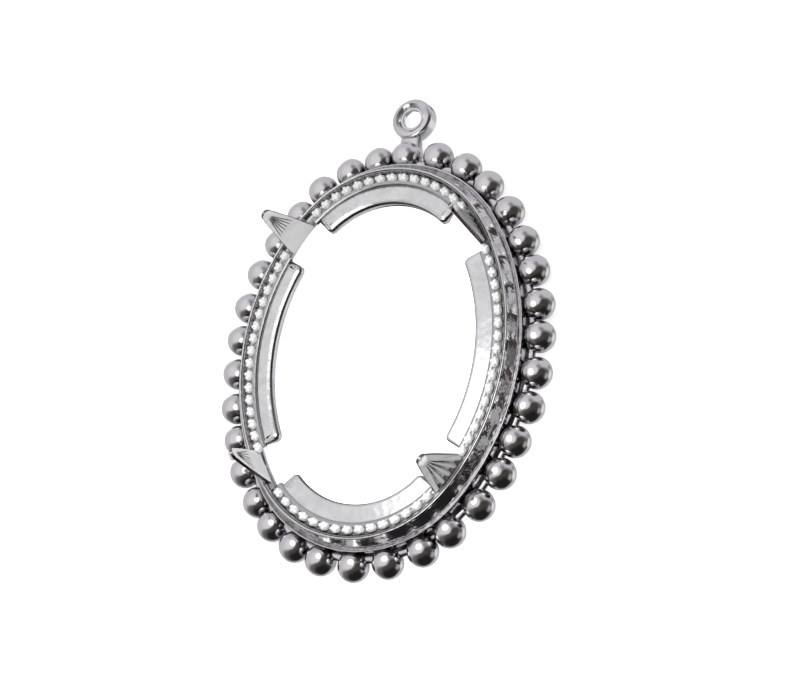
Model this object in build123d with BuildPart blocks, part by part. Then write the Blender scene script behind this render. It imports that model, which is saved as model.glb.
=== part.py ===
import os
from math import atan2, cos, degrees, floor, hypot, pi, radians, sin

from build123d import *

# Stone that the setting holds
stone_length = 40.0
stone_width = 30.0
stone_play = 0.2

# Ball frame, heights above the back of the balls, offsets outward from the seat wall
ball_count = 34
ball_radius = 1.88
ball_path_offset = 4.68
web_thickness = 0.95
web_reach = 0.12
web_inner_offset = 2.35
ridge_offset = 3.1
ridge_radius = 0.3
ridge_height = 3.65
cove_rise = 0.1
collar_offset = 2.1
collar_thickness = 0.28
collar_rise = 0.08
shelf_height = 3.2
shelf_thickness = 0.45
shelf_reach = 0.5

# Hanging loop, its centre so far beyond the middles of the balls
loop_standoff = 4.82
loop_radius = 2.57
loop_thickness = 1.75
loop_back = 0.38
loop_hole_radius = 1.15
loop_dish_radius = 2.0
loop_dish_depth = 0.25
loop_step_radius = 1.5
loop_step_depth = 0.12
loop_back_dish = 0.2
loop_rounding = 0.4
stem_width = 2.7
stem_root_width = 4.0
stem_thickness = 1.3

# Stone seat, where the flange's height sets those of the rim, the collar and the ledge
nest_gap = 0.06
flange_height = 4.95
flange_thickness = 0.48
flange_edge = 0.28
rim_width = 0.3
rim_rise = 0.3
milgrain_offset = 0.92
milgrain_radius = 0.5
milgrain_pitch = 1.53
ledge_step = 0.2
ledge_width = 2.15
ledge_thickness = 0.35
lip_depth = 0.55
lip_thickness = 0.35
lip_bend = 0.3
ledge_corner = 0.85

# Prongs
prong_distance = 13.5
prong_width = 4.5
prong_height = 12.0
prong_thickness = 0.45
prong_side_gap = 0.35
prong_tip_radius = 0.7
rib_count = 5
rib_foot_radius = 0.3
rib_tip_radius = 0.14

# Each prong's inner face from the seat wall, and its lean in degrees, outward positive
prong_offsets = {"upper_right": 0.47, "lower_right": 0.5, "lower_left": 0.95, "upper_left": 0.55}
prong_leans = {"upper_right": -1.2, "lower_right": 0.7, "lower_left": -5.7, "upper_left": 0.4}

# Material cut from each end of a ledge stretch beyond the prong's gap, anticlockwise end first
ledge_trims = {"top": (0.4, 1.5), "right": (-0.3, 0.2), "bottom": (-0.2, 0.2), "left": (0.2, 0.2)}

# Heights that follow the flange
ledge_height = flange_height - ledge_step
rim_height = flange_height + rim_rise
collar_height = rim_height + collar_rise

# Seat oval, drawn from four centres by the draughtsman's rule
seat_half_width = stone_width / 2 + stone_play
seat_half_length = stone_length / 2 + stone_play
diagonal = hypot(seat_half_width, seat_half_length)
half_chord = (diagonal - seat_half_length + seat_half_width) / 2
end_radius = half_chord * diagonal / seat_half_length
side_radius = (diagonal - half_chord) * diagonal / seat_half_width
end_centre = seat_half_length - end_radius
side_centre = side_radius - seat_half_width
turn = atan2(side_centre, end_centre)

# The origin is under the middle of the whole piece, so the oval lies below it
path_half_length = seat_half_length + ball_path_offset
loop_reach = path_half_length + loop_standoff + loop_radius
ball_reach = path_half_length + ball_radius
oval_y = (ball_reach - loop_reach) / 2


def oval_length(offset):
    """Length round the oval at an offset from the seat wall."""
    return 4 * ((end_radius + offset) * turn + (side_radius + offset) * (pi / 2 - turn))


def oval_plane(distance, offset, height):
    """Plane at a distance round the oval, clockwise from the top, facing outward with its Y up."""
    end_run = (end_radius + offset) * turn
    quarter = oval_length(offset) / 4
    count, run = divmod(distance, quarter)
    mirrored = count % 2 == 1
    if mirrored:
        run = quarter - run
    if run < end_run:
        angle = run / (end_radius + offset)
        x = (end_radius + offset) * sin(angle)
        y = end_centre + (end_radius + offset) * cos(angle)
    else:
        angle = turn + (run - end_run) / (side_radius + offset)
        x = (side_radius + offset) * sin(angle) - side_centre
        y = (side_radius + offset) * cos(angle)
    left = -1 if count % 4 >= 2 else 1
    lower = -1 if count % 4 in (1, 2) else 1
    normal_x = left * sin(angle)
    normal_y = lower * cos(angle)
    return Plane(
        origin=(left * x, lower * y + oval_y, height),
        x_dir=(-normal_y, normal_x, 0),
        z_dir=(normal_x, normal_y, 0),
    )


# The four arcs of the oval: centre, radius at the seat wall, direction of the middle and half sweep
half_end = degrees(turn)
half_side = 90 - half_end
arcs = {
    "top": ((0, oval_y + end_centre), end_radius, 90, half_end),
    "right": ((-side_centre, oval_y), side_radius, 0, half_side),
    "bottom": ((0, oval_y - end_centre), end_radius, -90, half_end),
    "left": ((side_centre, oval_y), side_radius, 180, half_side),
}


def arc_plane(centre, direction):
    """Upright plane through an arc's centre: X outward along the direction, Y up."""
    angle = radians(direction)
    return Plane(
        origin=(*centre, 0),
        x_dir=(cos(angle), sin(angle), 0),
        z_dir=(sin(angle), -cos(angle), 0),
    )


def frame_profile(radius):
    """Section of the frame: web, ridge, cove, collar and inner shelf."""
    web_middle = ball_radius
    web_top = web_middle + web_thickness / 2
    web_bottom = web_middle - web_thickness / 2
    web_edge = radius + ball_path_offset + web_reach
    ridge_outer = radius + ridge_offset + ridge_radius
    ridge_inner = radius + ridge_offset - ridge_radius
    collar_outer = radius + collar_offset
    collar_inner = collar_outer - collar_thickness
    shelf_inner = collar_inner - shelf_reach
    collar_top = collar_height - collar_thickness / 2
    ridge_side = ridge_height - ridge_radius
    cove_top = (collar_outer, ridge_side + cove_rise)
    with BuildSketch(Plane.XY) as profile:
        with BuildLine():
            Polyline(
                (ridge_outer, ridge_side),
                (ridge_outer, web_top),
                (web_edge, web_top),
                (web_edge, web_bottom),
                (radius + web_inner_offset, web_bottom),
                (shelf_inner, shelf_height - shelf_thickness),
                (shelf_inner, shelf_height),
                (collar_inner, shelf_height),
                (collar_inner, collar_top),
            )
            ThreePointArc(
                (collar_inner, collar_top),
                (collar_outer - collar_thickness / 2, collar_height),
                (collar_outer, collar_top),
            )
            Line((collar_outer, collar_top), cove_top)
            TangentArc(cove_top, (ridge_inner, ridge_side), tangent=(0, -1))
            ThreePointArc(
                (ridge_inner, ridge_side),
                (radius + ridge_offset, ridge_height),
                (ridge_outer, ridge_side),
            )
        make_face()
    return profile.sketch


def seat_profile(radius):
    """Section of the seat ring: rim, groove, flange and skirt."""
    rim_outer = radius + collar_offset - collar_thickness - nest_gap
    rim_inner = rim_outer - rim_width
    rim_side = rim_height - rim_width / 2
    foot = shelf_height + nest_gap
    with BuildSketch(Plane.XY) as profile:
        with BuildLine():
            ThreePointArc(
                (rim_outer, rim_side),
                ((rim_outer + rim_inner) / 2, rim_height),
                (rim_inner, rim_side),
            )
            Polyline(
                (rim_inner, rim_side),
                (rim_inner, flange_height),
                (radius + flange_edge, flange_height),
                (radius, ledge_height),
                (radius, ledge_height - ledge_thickness),
                (radius + flange_edge, flange_height - flange_thickness),
                (rim_inner, flange_height - flange_thickness),
                (rim_inner, foot),
                (rim_outer, foot),
                (rim_outer, rim_side),
            )
        make_face()
    return profile.sketch


# The ball frame: four revolved arcs, the balls, and the loop on its stem
ball_path = oval_length(ball_path_offset)
ball_runs = [i * ball_path / ball_count for i in range(ball_count)]
ball_planes = [oval_plane(run, ball_path_offset, ball_radius) for run in ball_runs]
stem_root = oval_y + path_half_length
loop_y = stem_root + loop_standoff
loop_top = loop_back + loop_thickness
loop_axis = Axis((0, loop_y, 0), (0, 0, 1))
stem_middle = (loop_back + loop_top) / 2
with BuildPart() as ball_frame:
    for centre, radius, middle, half in arcs.values():
        with BuildSketch(arc_plane(centre, middle + half)):
            add(frame_profile(radius))
        revolve(axis=Axis((*centre, 0), (0, 0, 1)), revolution_arc=-2 * half)
    with Locations(*[plane.location for plane in ball_planes]):
        Sphere(ball_radius)
    with BuildSketch(Plane.XY.offset(stem_middle)):
        with BuildLine():
            Polyline(
                (-stem_root_width / 2, stem_root),
                (stem_root_width / 2, stem_root),
                (stem_width / 2, loop_y - loop_radius),
                (stem_width / 2, loop_y),
                (-stem_width / 2, loop_y),
                (-stem_width / 2, loop_y - loop_radius),
                close=True,
            )
        make_face()
    extrude(amount=stem_thickness / 2, both=True)
    with BuildSketch(Plane.YZ) as disc:
        with Locations((loop_y, loop_back)):
            Rectangle(loop_radius, loop_thickness, align=(Align.MIN, Align.MIN))
        fillet(disc.vertices().group_by(Axis.X)[-1], loop_rounding)
    revolve(axis=loop_axis)
    with BuildSketch(Plane.YZ):
        with BuildLine():
            Polyline(
                (loop_y, loop_back),
                (loop_y + loop_hole_radius + loop_back_dish, loop_back),
                (loop_y + loop_hole_radius, loop_back + loop_back_dish),
                (loop_y + loop_hole_radius, loop_top - loop_dish_depth - loop_step_depth),
                (loop_y + loop_step_radius, loop_top - loop_dish_depth - loop_step_depth),
                (loop_y + loop_step_radius, loop_top - loop_dish_depth),
                (loop_y + loop_dish_radius, loop_top),
                (loop_y, loop_top),
                close=True,
            )
        make_face()
    revolve(axis=loop_axis, mode=Mode.SUBTRACT)
ball_frame.part.label = "ball_frame"


def stretch_face(centre, inner, outer, start, end, corner):
    """Piece of a flat ring between two directions, with its inner corners rounded."""
    directions = [radians(start), radians(end)]
    near = [(centre[0] + inner * cos(a), centre[1] + inner * sin(a)) for a in directions]
    far = [(centre[0] + outer * cos(a), centre[1] + outer * sin(a)) for a in directions]
    with BuildSketch(Plane.XY) as stretch:
        with BuildLine():
            CenterArc(centre, inner, start, end - start)
            CenterArc(centre, outer, start, end - start)
            Line(near[0], far[0])
            Line(near[1], far[1])
        make_face()
        corners = [stretch.vertices().sort_by_distance((x, y, 0))[0] for x, y in near]
        fillet(corners, corner)
    return stretch.sketch


# Each ledge stretch runs between two prong gaps, inside one arc of the oval
gap_half = prong_width / 2 + prong_side_gap
end_run = prong_distance - gap_half
side_run = oval_length(0) / 4 - prong_distance - gap_half
ledge_runs = {"top": end_run, "right": side_run, "bottom": end_run, "left": side_run}
ledge_lap = flange_edge / 2
with BuildPart() as ledges:
    for name, (centre, radius, middle, half) in arcs.items():
        trim_start, trim_end = ledge_trims[name]
        start = middle - degrees((ledge_runs[name] - trim_end) / radius)
        end = middle + degrees((ledge_runs[name] - trim_start) / radius)
        inset = degrees(lip_thickness / radius)
        inner = radius - ledge_width
        with BuildSketch(Plane.XY.offset(ledge_height)):
            add(stretch_face(centre, inner, radius + ledge_lap, start, end, ledge_corner))
        extrude(amount=-lip_depth)
        with BuildSketch(Plane.XY.offset(ledge_height - ledge_thickness)):
            pocket = stretch_face(
                centre,
                inner + lip_thickness,
                radius + ledge_width,
                start + inset,
                end - inset,
                ledge_corner - lip_thickness,
            )
            add(pocket)
        extrude(amount=-lip_depth, mode=Mode.SUBTRACT)
    tops = ledges.faces().filter_by(Plane.XY).group_by(Axis.Z)[-1]
    outer_arcs = [top.edges().filter_by(GeomType.CIRCLE).sort_by(SortBy.RADIUS)[-1] for top in tops]
    fillet([edge for edge in tops.edges() if edge not in outer_arcs], lip_bend)

# One prong, standing in its own plane: X along the rim, Y up, Z outward, its foot at the ledge's back
prong_foot = ledge_height - ledge_thickness
prong_rise = prong_height - prong_foot - prong_tip_radius
rib_start = flange_height - prong_foot
rib_spread = prong_width / 2 - rib_foot_radius
with BuildPart() as prong:
    with BuildSketch(Plane.XY):
        with BuildLine():
            Polyline(
                (-prong_width / 2, 0),
                (prong_width / 2, 0),
                (prong_width / 2, rib_start),
                (prong_tip_radius, prong_rise),
                (-prong_tip_radius, prong_rise),
                (-prong_width / 2, rib_start),
                close=True,
            )
        make_face()
        with Locations((0, prong_rise)):
            Circle(prong_tip_radius)
    extrude(amount=prong_thickness)
    with Locations((0, prong_rise, prong_thickness)):
        Sphere(prong_tip_radius)
    for i in range(rib_count):
        foot_x = rib_spread * (2 * i / (rib_count - 1) - 1)
        rib_length = hypot(foot_x, prong_rise - rib_start)
        rib_origin = (0, prong_rise, prong_thickness)
        along = Vector(foot_x, rib_start - prong_rise, 0).normalized()
        with BuildSketch(Plane(origin=rib_origin, x_dir=along, z_dir=along.cross(Vector(0, 0, 1)))):
            with BuildLine():
                Polyline(
                    (0, 0),
                    (rib_length, 0),
                    (rib_length, rib_foot_radius),
                    (0, rib_tip_radius),
                    close=True,
                )
            make_face()
        revolve(axis=Axis(rib_origin, along))
    split(bisect_by=Plane.XY, keep=Keep.TOP)

# The stone seat: four revolved arcs, the ledge stretches, the prongs and the milgrain
seat_run = oval_length(0)
prong_runs = {
    "upper_right": prong_distance,
    "lower_right": seat_run / 2 - prong_distance,
    "lower_left": seat_run / 2 + prong_distance,
    "upper_left": seat_run - prong_distance,
}
prong_planes = [
    oval_plane(run, 0, prong_foot).offset(prong_offsets[name]).rotated((prong_leans[name], 0, 0))
    for name, run in prong_runs.items()
]
milgrain_run = oval_length(milgrain_offset)
milgrain_places = []
for quarter in range(4):
    middle_run = quarter / 4 * milgrain_run
    clear_run = (side_run if quarter % 2 else end_run) * milgrain_run / seat_run
    steps = floor(2 * clear_run / milgrain_pitch)
    first = middle_run - steps / 2 * milgrain_pitch
    runs = [(first + i * milgrain_pitch) % milgrain_run for i in range(steps + 1)]
    milgrain_places += [oval_plane(run, milgrain_offset, flange_height).origin for run in runs]
with BuildPart() as stone_seat:
    for centre, radius, middle, half in arcs.values():
        with BuildSketch(arc_plane(centre, middle + half)):
            add(seat_profile(radius))
        revolve(axis=Axis((*centre, 0), (0, 0, 1)), revolution_arc=-2 * half)
    for plane in prong_planes:
        with BuildSketch(plane):
            with Locations((0, (flange_height - prong_foot) / 2)):
                Rectangle(2 * gap_half, flange_height - prong_foot + 2 * lip_depth)
        extrude(amount=-prong_width, mode=Mode.SUBTRACT)
    add(ledges.part)
    with Locations(*[plane.location for plane in prong_planes]):
        add(prong.part)
    with Locations(*milgrain_places):
        Sphere(milgrain_radius)
stone_seat.part.label = "stone_seat"

os.makedirs("parts", exist_ok=True)
export_step(ball_frame.part, "parts/ball_frame.step")
export_step(stone_seat.part, "parts/stone_seat.step")
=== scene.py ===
from math import atan2, ceil, cos, hypot, pi, radians, sin, sqrt, tan

import bmesh
import bpy
from bpy.props import (
    FloatProperty,
    FloatVectorProperty,
    IntProperty,
    PointerProperty,
)
from mathutils import Matrix, Vector
from mathutils.geometry import tessellate_polygon


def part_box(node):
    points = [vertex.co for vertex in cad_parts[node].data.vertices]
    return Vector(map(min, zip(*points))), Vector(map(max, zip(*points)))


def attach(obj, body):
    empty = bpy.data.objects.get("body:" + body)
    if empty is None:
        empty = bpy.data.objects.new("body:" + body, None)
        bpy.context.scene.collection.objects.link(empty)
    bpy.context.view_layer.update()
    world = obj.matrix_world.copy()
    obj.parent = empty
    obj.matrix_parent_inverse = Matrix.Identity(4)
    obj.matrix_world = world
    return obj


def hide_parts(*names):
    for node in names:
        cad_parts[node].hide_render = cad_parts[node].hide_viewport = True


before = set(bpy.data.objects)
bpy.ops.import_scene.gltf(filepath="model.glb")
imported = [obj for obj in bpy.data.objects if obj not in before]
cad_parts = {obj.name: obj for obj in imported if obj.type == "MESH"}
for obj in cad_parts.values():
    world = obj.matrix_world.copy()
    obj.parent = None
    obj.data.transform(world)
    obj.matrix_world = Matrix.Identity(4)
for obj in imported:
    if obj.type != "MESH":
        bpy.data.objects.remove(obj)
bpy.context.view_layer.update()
seat_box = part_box("stone_seat")

bl_info = {
    "name": "Pendant Setting",
    "version": (1, 0, 0),
    "blender": (4, 5, 0),
    "location": "View3D > Sidebar > Pendant",
    "description": "Builds an oval pendant setting: ball border, milgrain seat, ledges, prongs and loop",
    "category": "Object",
}

MM = 0.001


def length(name, description, millimetres):
    """A size of the setting, given in millimetres and kept in metres."""
    return FloatProperty(
        name=name,
        description=description,
        default=millimetres * MM,
        min=0.0,
        unit="LENGTH",
        subtype="DISTANCE",
        precision=5,
    )


def share(name, description, value):
    """A share of the whole, from 0 to 1."""
    return FloatProperty(
        name=name, description=description, default=value, min=0.0, max=1.0, subtype="FACTOR"
    )


def colour(name, description, value):
    """A colour that a user may change."""
    return FloatVectorProperty(
        name=name, description=description, default=value, size=3, min=0.0, max=1.0, subtype="COLOR"
    )


class PendantFrameSizes(bpy.types.PropertyGroup):
    """Sizes of the ball frame and its loop."""

    ball_count: IntProperty(
        name="Balls", description="Number of balls in the border", default=34, min=12, max=80
    )
    ball_radius: length("Ball radius", "Radius of each ball", 1.88)
    ball_path: length("Ball path", "Middles of the balls, outward from the seat wall", 4.68)
    web_thickness: length("Web thickness", "Thickness of the web between the balls", 0.7)
    web_width: length("Web width", "Web's outer edge, outward from the seat wall", 4.2)
    web_inner: length("Web inside", "Web's inner edge, outward from the seat wall", 2.35)
    ridge_path: length("Ridge path", "Ridge inside the balls, outward from the seat wall", 3.1)
    ridge_radius: length("Ridge radius", "Radius of the ridge's round top", 0.08)
    ridge_height: length("Ridge height", "Top of the ridge above the back", 3.6)
    hollow_depth: length("Hollow depth", "Hollow inside the ridge, below the ridge's side", 0.12)
    hollow_width: length("Hollow width", "Width of the hollow at the wall's foot", 0.2)
    collar_path: length("Collar path", "Collar's outer face, outward from the seat wall", 2.1)
    collar_thickness: length("Collar thickness", "Thickness of the collar", 0.28)
    collar_height: length("Collar height", "Top of the collar above the back", 5.33)
    shelf_height: length("Shelf height", "Inner shelf that the seat stands on", 3.2)
    shelf_thickness: length("Shelf thickness", "Thickness of the inner shelf", 0.45)
    shelf_reach: length("Shelf reach", "Shelf's reach inside the collar", 0.5)
    loop_standoff: length("Loop standoff", "Loop's centre beyond the middles of the balls", 4.82)
    loop_radius: length("Loop radius", "Outer radius of the loop", 2.57)
    loop_thickness: length("Loop thickness", "Thickness of the loop", 2.15)
    loop_back: length("Loop back", "Back of the loop above the back of the balls", 0.38)
    hole_radius: length("Hole radius", "Radius of the loop's hole", 1.15)
    loop_fall: length("Loop fall", "Fall of the loop's outer edge below its top", 0.28)
    dish_radius: length("Dish radius", "Radius of the dish round the hole", 1.92)
    dish_depth: length("Dish depth", "Depth of the dish", 0.2)
    step_radius: length("Step radius", "Radius of the step in the dish", 1.62)
    step_depth: length("Step depth", "Depth of the step", 0.3)
    back_dish: length("Back dish", "Depth of the dish in the loop's back", 1.15)
    stem_width: length("Stem width", "Width of the stem at the loop", 2.7)
    stem_root_width: length("Stem root", "Width of the stem at the balls", 4.0)
    stem_thickness: length("Stem thickness", "Thickness of the stem", 1.3)


class PendantSeatSizes(bpy.types.PropertyGroup):
    """Sizes of the stone seat, its ledges, beads and prongs."""

    half_width: length("Half width", "Half the width inside the seat wall", 15.2)
    half_length: length("Half length", "Half the length inside the seat wall", 20.2)
    nest_gap: length("Nest gap", "Gap between the rim and the collar", 0.04)
    flange_height: length("Flange height", "Flange that carries the beads", 4.95)
    flange_thickness: length("Flange thickness", "Thickness of the flange", 0.48)
    flange_edge: length("Flange edge", "Width of the slope down to the ledge", 0.28)
    rim_width: length("Rim width", "Width of the rim with its sloping inner side", 0.33)
    channel_depth: length("Channel depth", "Channel between the rim and the beads", 0.2)
    skirt_thickness: length("Skirt thickness", "Thickness of the skirt under the rim", 0.3)
    rim_rise: length("Rim rise", "Top of the rim above the flange", 0.3)
    bead_path: length("Bead path", "Middles of the beads, outward from the seat wall", 0.92)
    bead_radius: length("Bead radius", "Radius of each milgrain bead", 0.5)
    bead_pitch: length("Bead pitch", "Distance from bead to bead", 1.53)
    ledge_step: length("Ledge step", "Ledge below the flange", 0.2)
    ledge_width: length("Ledge width", "Width of the ledge inside the seat wall", 2.15)
    ledge_thickness: length("Ledge thickness", "Thickness of the ledge", 0.35)
    lip_thickness: length("Lip thickness", "Thickness of the lip", 0.35)
    lip_bend: length("Lip bend", "Radius of the bend into the lip on the folded ledges", 0.45)
    ledge_corner: length("Ledge corner", "Radius of the ledge's inner corners", 0.85)
    prong_distance: length("Prong distance", "Prong's middle from the oval's top or bottom", 13.5)
    prong_width: length("Prong width", "Width of a prong at its foot", 4.5)
    prong_height: length("Prong height", "Top of a prong above the back", 12.0)
    prong_thickness: length("Prong thickness", "Thickness of a prong's plate", 0.45)
    prong_side_gap: length("Prong side gap", "Gap between a prong and the ledge", 0.35)
    prong_tip_radius: length("Prong tip", "Radius of the knob at a prong's tip", 0.7)
    rib_count: IntProperty(name="Ribs", description="Ribs on a prong", default=5, min=3, max=12)
    rib_foot_radius: length("Rib foot", "Radius of a rib at the prong's foot", 0.34)
    rib_tip_radius: length("Rib tip", "Radius of a rib at the prong's tip", 0.05)


class PendantFinish(bpy.types.PropertyGroup):
    """Colours and polish of the plate."""

    bright: colour("Bright plate", "Polished plate on the ball frame", (0.80, 0.79, 0.80))
    satin: colour("Satin plate", "Brushed plate on the ledges", (0.88, 0.88, 0.88))
    # Painted shade: the colour mixed into the plate in its hollows and between parts
    shade: colour("Shade", "Painted shade on the plate in the low places", (0.07, 0.067, 0.064))
    # Flange: the seat ring's plate, darker than the ball frame's as painted shade round the milgrain
    flange: colour("Flange", "Plate darkened with painted shade round the milgrain", (0.55, 0.55, 0.55))
    frosted: colour("Frosted plate", "Pale frosted plate on the beads and prongs", (0.95, 0.95, 0.95))
    frost: share("Frost", "Share of the light that the frosted plate scatters", 0.72)
    # Painted dark edge: a darker colour on the prongs' edges and creases and along the ledges' bends, as
    # painted reflection and painted shade
    painted_dark_edge: colour(
        "Painted dark edge", "Darker edges and creases of the prongs and bends of the ledges", (0.22, 0.20, 0.19)
    )
    bright_roughness: share("Bright roughness", "Roughness of the polished plate", 0.08)
    satin_roughness: share("Satin roughness", "Roughness of the brushed plate", 0.30)


class PendantStage(bpy.types.PropertyGroup):
    """Light and surroundings."""

    lamp_radius: length("Lamp radius", "Radius of the round lamp above the setting", 16.5)
    lamp_power: FloatProperty(
        name="Lamp power", description="Power of the round lamp", default=0.0036, min=0.0, unit="POWER"
    )
    fill_power: FloatProperty(
        name="Fill power",
        description="Power of the soft fill that polished plate doesn't mirror",
        default=0.0145,
        min=0.0,
        unit="POWER",
    )
    side_power: FloatProperty(
        name="Side power",
        description="Power of the soft fill from the lower right, which polished plate doesn't mirror",
        default=0.017,
        min=0.0,
        unit="POWER",
    )
    room: colour("Room", "Colour of the light walls", (0.60, 0.595, 0.62))
    ceiling: colour("Ceiling", "Colour of the light from above", (0.78, 0.775, 0.79))


# The setting's hand-made differences, in millimetres. For each prong: how far its foot stands outward,
# its lean outward in degrees, its shift clockwise along the wall and its added width. For each ledge:
# the metal cut from its first and its last end, clockwise
PRONG_OFFSETS = {"upper_right": 0.4, "lower_right": 0.45, "lower_left": 1.1, "upper_left": 0.2}
PRONG_LEANS = {"upper_right": 3.0, "lower_right": 0.0, "lower_left": -1.2, "upper_left": 12.0}
PRONG_SHIFTS = {"upper_right": -0.45, "lower_right": 0.15, "lower_left": 0.4, "upper_left": 0.1}
PRONG_WIDER = {"upper_right": 0.0, "lower_right": 0.5, "lower_left": -0.2, "upper_left": -0.4}
LEDGE_TRIMS = {"top": (0.4, 1.5), "right": (-0.3, 0.2), "bottom": (-0.2, 0.2), "left": (0.2, 0.2)}

# Each ledge's fold, in millimetres: metal missing from its width, width of its sloping edge and depth of
# its lip
LEDGE_FOLDS = {
    "top": (0.0, 0.45, 1.25),
    "right": (0.0, 0.28, 0.6),
    "bottom": (0.0, 0.28, 0.6),
    "left": (0.28, 0.45, 1.15),
}

# How far each ball sits from its even place, in millimetres: clockwise along the border, and outward
BALLS_ALONG = (
    -0.1, 0.0, 0.0, -0.2, 0.15, 0.3, 0.1, 0.1, -0.2, -0.1, -0.25, -0.3, -0.5, -0.45, -0.1, -0.35, 0.05,
    0.35, 0.65, 0.45, 0.35, -0.15, -0.1, -0.15, -0.2, 0.0, 0.1, 0.1, 0.3, 0.4, 0.7, 0.6, 0.6, 0.4,
)
BALLS_OUTWARD = (
    0.0, 0.15, 0.05, -0.15, -0.1, -0.1, 0.05, 0.0, -0.05, 0.0, 0.05, -0.1, 0.1, 0.1, -0.25, -0.15, -0.2,
    -0.1, 0.0, 0.1, 0.15, 0.1, 0.2, -0.05, -0.15, -0.3, -0.2, 0.0, 0.1, 0.0, -0.3, 0.05, -0.1, -0.15,
)

# Unevenness of hand-finished metal: how many waves go round the oval, and the weight of each
HAND_WAVES = ((3, 0.5), (7, 0.4), (17, 0.3), (31, 0.22), (53, 0.14))

# Sections that carry a ring round the oval
STATIONS = 720


class Oval:
    """The seat's oval, drawn from four centres. Offsets go outward from the seat wall."""

    def __init__(self, half_width, half_length, middle_y):
        diagonal = hypot(half_width, half_length)
        half_chord = (diagonal - half_length + half_width) / 2
        self.end_radius = half_chord * diagonal / half_length
        self.side_radius = (diagonal - half_chord) * diagonal / half_width
        self.end_centre = half_length - self.end_radius
        self.side_centre = self.side_radius - half_width
        self.turn = atan2(self.side_centre, self.end_centre)
        self.middle_y = middle_y

    def around(self, offset=0.0):
        """Length round the oval at an offset."""
        end = (self.end_radius + offset) * self.turn
        side = (self.side_radius + offset) * (pi / 2 - self.turn)
        return 4 * (end + side)

    def at(self, run, offset=0.0):
        """Point and outward direction at a run, clockwise from the top, measured at the offset."""
        end_run = (self.end_radius + offset) * self.turn
        quarter = self.around(offset) / 4
        count, rest = divmod(run, quarter)
        if count % 2 == 1:
            rest = quarter - rest
        if rest < end_run:
            angle = rest / (self.end_radius + offset)
            x = (self.end_radius + offset) * sin(angle)
            y = self.end_centre + (self.end_radius + offset) * cos(angle)
        else:
            angle = self.turn + (rest - end_run) / (self.side_radius + offset)
            x = (self.side_radius + offset) * sin(angle) - self.side_centre
            y = (self.side_radius + offset) * cos(angle)
        left = -1 if count % 4 >= 2 else 1
        lower = -1 if count % 4 in (1, 2) else 1
        point = Vector((left * x, lower * y + self.middle_y, 0))
        return point, Vector((left * sin(angle), lower * cos(angle), 0))

    def arcs(self):
        """The four arcs: centre, radius at the wall, direction of the middle and half the sweep."""
        half_side = pi / 2 - self.turn
        y = self.middle_y
        return {
            "top": ((0, y + self.end_centre), self.end_radius, pi / 2, self.turn),
            "right": ((-self.side_centre, y), self.side_radius, 0, half_side),
            "bottom": ((0, y - self.end_centre), self.end_radius, -pi / 2, self.turn),
            "left": ((self.side_centre, y), self.side_radius, pi, half_side),
        }


def seat_oval(seat):
    """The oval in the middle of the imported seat."""
    low, high = seat_box
    return Oval(seat.half_width, seat.half_length, (low.y + high.y) / 2)


def rounded(points, radii, steps=6):
    """Closed outline with each corner rounded by its own radius."""
    outline = []
    for i, point in enumerate(points):
        corner = Vector(point)
        before = Vector(points[i - 1]) - corner
        after = Vector(points[(i + 1) % len(points)]) - corner
        angle = before.angle(after)
        if radii[i] <= 0 or pi - angle < 0.02:
            outline.append(corner)
            continue
        reach = radii[i] / tan(angle / 2)
        reach = min(reach, before.length * 0.49, after.length * 0.49)
        radius = reach * tan(angle / 2)
        start = corner + before.normalized() * reach
        end = corner + after.normalized() * reach
        middle = corner + (before.normalized() + after.normalized()).normalized() * (
            radius / sin(angle / 2)
        )
        first = start - middle
        sweep = first.angle_signed(end - middle)
        for k in range(steps + 1):
            turned = Matrix.Rotation(-sweep * k / steps, 2) @ first
            outline.append(middle + turned)
    return outline


def arc(centre, radius, start, end, steps):
    """Points on an arc between two directions in degrees."""
    turns = [radians(start + (end - start) * k / steps) for k in range(steps + 1)]
    return [(centre[0] + radius * cos(a), centre[1] + radius * sin(a)) for a in turns]


def piece(name, bm, finishes, node, smooth=55):
    """Finishes a piece of the setting: smooth shading, finishes, ride and the solid it stands for."""
    bmesh.ops.recalc_face_normals(bm, faces=bm.faces)
    mesh = bpy.data.meshes.new(name)
    bm.to_mesh(mesh)
    bm.free()
    mesh.shade_smooth()
    mesh.set_sharp_from_angle(angle=radians(smooth))
    for finish in finishes:
        mesh.materials.append(bpy.data.materials[finish])
    thing = bpy.data.objects.new(name, mesh)
    bpy.context.scene.collection.objects.link(thing)
    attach(thing, "root")
    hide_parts(node)


def skin(bm, rings, closed=True):
    """Joins rings of points, each to the next one, and the last to the first if closed."""
    made = [[bm.verts.new(p) for p in ring] for ring in rings]
    pairs = list(zip(made, made[1:]))
    if closed:
        pairs.append((made[-1], made[0]))
    for ring, following in pairs:
        for j in range(len(ring)):
            k = (j + 1) % len(ring)
            corners = (ring[j], ring[k], following[k], following[j])
            bm.faces.new(corners)
    return made


def hand_wave(turn, seed, size):
    """Small unevenness of hand-finished metal, round the oval once for a turn from 0 to 1."""
    total = 0.0
    for waves, weight in HAND_WAVES:
        total += weight * sin(2 * pi * waves * turn + seed * waves * 1.7)
    return size * total


def even_runs(oval):
    """Runs at even steps round the oval's wall."""
    around = oval.around()
    return [i * around / STATIONS for i in range(STATIONS)]


def carried(bm, oval, sections):
    """Carries a closed section round the oval: each run comes with its offsets and heights there."""
    rings = []
    for run, section in sections:
        point, outward = oval.at(run)
        ring = [point + outward * offset + Vector((0, 0, height)) for offset, height in section]
        rings.append(ring)
    skin(bm, rings)


def new_material(name):
    """A new material, its node tree and the shader in it."""
    material = bpy.data.materials.new(name)
    material.use_nodes = True
    tree = material.node_tree
    tree.nodes.clear()
    shader = tree.nodes.new("ShaderNodeBsdfPrincipled")
    output = tree.nodes.new("ShaderNodeOutputMaterial")
    tree.links.new(shader.outputs["BSDF"], output.inputs["Surface"])
    return material, tree, shader


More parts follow.
